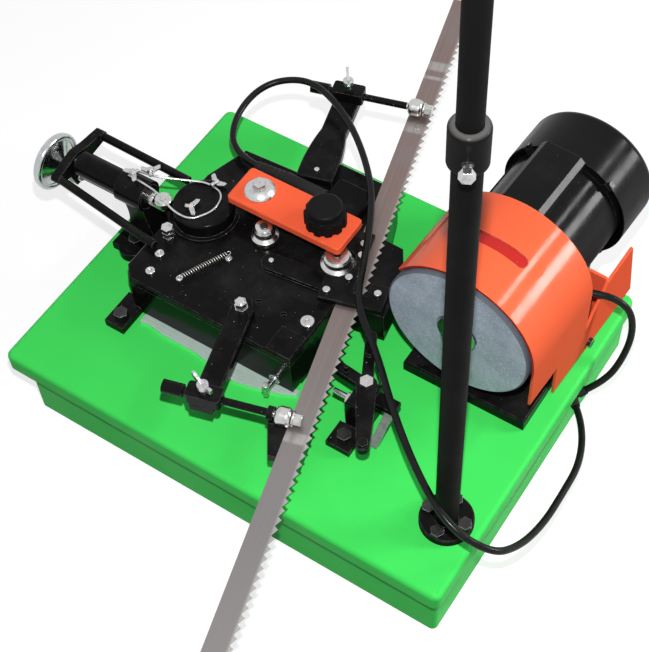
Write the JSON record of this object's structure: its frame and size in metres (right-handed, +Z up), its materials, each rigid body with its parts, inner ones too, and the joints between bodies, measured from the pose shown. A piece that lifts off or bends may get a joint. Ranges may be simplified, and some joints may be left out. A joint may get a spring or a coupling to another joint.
{
  "type": "band saw blade sharpener",
  "caption": "Bench machine for sharpening band saw blades: green table with a motor-driven grinding wheel under a hood, a cam-driven blade feed unit and a telescopic blade post.",
  "frame": {"origin": "middle of the four base bolt holes on the underside of the skirt", "axes": "+X to the right along the table's front edge, +Y to the back, +Z up"},
  "size_m": [0.6303, 0.7846, 0.726],
  "materials": {
    "green_paint": "glossy enamel",
    "black_paint": "semi-gloss enamel",
    "orange_paint": "glossy enamel",
    "black_plastic": "satin",
    "rubber": "matt",
    "cable_jacket": "satin",
    "bright_steel": "zinc plated",
    "chrome": "polished",
    "abrasive": "grey abrasive with pale grain",
    "blade_steel": "rolled band steel"
  },
  "bodies": {
    "frame": {"table_top": "green_paint", "base_frame": "green_paint", "post_tube": "black_paint", "post_collar": "black_paint", "head_base_plate": "black_paint", "motor_body": "black_paint", "motor_end_bells": "black_paint", "terminal_box": "black_paint", "feed_base": "black_paint", "feed_top_plate": "black_paint", "pedestal": "black_paint", "guide_tube": "black_paint", "blade_saddle": "black_paint", "clamp_plate": "black_paint", "guide_arms": "black_paint", "guide_blocks": "black_paint", "pawl_bracket": "black_paint", "feed_motor": "black_paint", "wheel_guard": "orange_paint", "head_bracket": "orange_paint", "motor_fan_cover": "black_plastic", "cable_glands": "rubber", "feed_strain_relief": "rubber", "feed_cable": "cable_jacket", "motor_cable": "cable_jacket", "table_bolts": "bright_steel", "head_screws": "bright_steel", "feed_screws": "bright_steel", "pivot_bolt": "bright_steel", "plate_pillars": "bright_steel", "link_strut": "bright_steel", "return_spring": "bright_steel", "wire_ring": "bright_steel"},
    "spindle": {"motor_rotor": "bright_steel", "grinding_wheel": "abrasive", "wheel_flanges": "bright_steel", "cooling_fan": "black_plastic"},
    "slider": {"post_slider": "black_paint"},
    "slider_clamp": {"post_clamp_bolt": "bright_steel"},
    "cam": {"cam_drum": "black_paint"},
    "plunger": {"plunger_rod": "bright_steel", "yoke": "black_paint", "adjusting_nut": "bright_steel"},
    "follower": {"follower_roller": "bright_steel"},
    "hand_wheel": {"handwheel": "chrome"},
    "arm": {"clamp_arm": "orange_paint"},
    "knob": {"star_knob": "black_plastic"},
    "roller_left": {"left_roller": "bright_steel"},
    "roller_blade": {"blade_roller": "bright_steel"},
    "blade": {"saw_blade": "blade_steel"},
    "rod_front": {"front_guide_rod": "black_paint", "blade_rest": "black_paint"},
    "roller_front": {"front_guide_roller": "bright_steel"},
    "wing_front": {"front_wing_screw": "bright_steel"},
    "rod_rear": {"rear_guide_rod": "black_paint"},
    "roller_rear": {"rear_guide_roller": "bright_steel"},
    "wing_rear": {"rear_wing_screw": "bright_steel"},
    "pawl": {"feed_pawl": "black_paint"},
    "bar": {"pull_bar": "bright_steel"},
    "tee": {"tee_screw": "bright_steel"}
  },
  "joints": [
    {"name": "wheel_spin", "type": "hinge", "parent": "frame", "child": "spindle", "pos_m": [0.1407, 0.0008, 0.176], "axis": [0.0466, 0.9989, 0], "continuous": true},
    {"name": "post_slide", "type": "slide", "parent": "frame", "child": "slider", "axis": [0, 0, 1], "range_m": [-0.115, 0.1]},
    {"name": "post_clamp_turn", "type": "hinge", "parent": "frame", "child": "slider_clamp", "pos_m": [0.205, -0.121, 0.581], "axis": [0.4587, -0.8886, 0], "range_deg": [-180, 180]},
    {"name": "cam_turn", "type": "hinge", "parent": "frame", "child": "cam", "pos_m": [-0.161, 0.021, 0.136], "axis": [0, 0, 1], "continuous": true},
    {"name": "plunger_slide", "type": "slide", "parent": "frame", "child": "plunger", "axis": [1, 0, 0], "range_m": [-0.008, 0], "stiffness_N_per_m": 500, "springref_m": 0.01},
    {"name": "follower_spin", "type": "hinge", "parent": "plunger", "child": "follower", "pos_m": [-0.1982, 0.004, 0.148], "axis": [0, 0, 1], "continuous": true},
    {"name": "handwheel_turn", "type": "hinge", "parent": "plunger", "child": "hand_wheel", "pos_m": [-0.331, 0.002, 0.1264], "axis": [1, 0, 0], "range_deg": [-360, 360]},
    {"name": "clamp_arm_slide", "type": "slide", "parent": "frame", "child": "arm", "axis": [1, 0, 0], "range_m": [-0.008, 0]},
    {"name": "star_knob_turn", "type": "hinge", "parent": "frame", "child": "knob", "pos_m": [-0.037, 0.056, 0.171], "axis": [0, 0, 1], "range_deg": [-180, 180]},
    {"name": "left_roller_spin", "type": "hinge", "parent": "frame", "child": "roller_left", "pos_m": [-0.092, 0.028, 0.141], "axis": [0, 0, 1], "continuous": true},
    {"name": "blade_roller_spin", "type": "hinge", "parent": "frame", "child": "roller_blade", "pos_m": [-0.01073, 0.03505, 0.141], "axis": [0, 0, 1], "continuous": true},
    {"name": "blade_feed", "type": "slide", "parent": "frame", "child": "blade", "axis": [-0.2627, 0.9649, 0], "range_m": [-0.1, 0.1]},
    {"name": "front_rod_slide", "type": "slide", "parent": "frame", "child": "rod_front", "axis": [0.9649, 0.2627, 0], "range_m": [-0.035, 0.003]},
    {"name": "front_roller_spin", "type": "hinge", "parent": "rod_front", "child": "roller_front", "pos_m": [0.04484, -0.14051, 0.147], "axis": [0.9649, 0.2627, 0], "continuous": true},
    {"name": "front_wing_turn", "type": "hinge", "parent": "frame", "child": "wing_front", "pos_m": [-0.02849, -0.16048, 0.166], "axis": [0, 0, 1], "range_deg": [-180, 180]},
    {"name": "rear_rod_slide", "type": "slide", "parent": "frame", "child": "rod_rear", "axis": [0.9649, 0.2627, 0], "range_m": [-0.035, 0.003]},
    {"name": "rear_roller_spin", "type": "hinge", "parent": "rod_rear", "child": "roller_rear", "pos_m": [-0.04831, 0.2435, 0.147], "axis": [0.9649, 0.2627, 0], "continuous": true},
    {"name": "rear_wing_turn", "type": "hinge", "parent": "frame", "child": "wing_rear", "pos_m": [-0.11875, 0.22433, 0.166], "axis": [0, 0, 1], "range_deg": [-180, 180]},
    {"name": "pawl_swing", "type": "hinge", "parent": "frame", "child": "pawl", "pos_m": [0.084, -0.063, 0.126], "axis": [0, 0, 1], "range_deg": [-6, 6]},
    {"name": "pull_bar_slide", "type": "slide", "parent": "frame", "child": "bar", "axis": [1, 0, 0], "range_m": [-0.005, 0.012]},
    {"name": "tee_screw_turn", "type": "hinge", "parent": "frame", "child": "tee", "pos_m": [-0.008, -0.082, 0.092], "axis": [0, -1, 0], "range_deg": [-90, 90]}
  ]
}
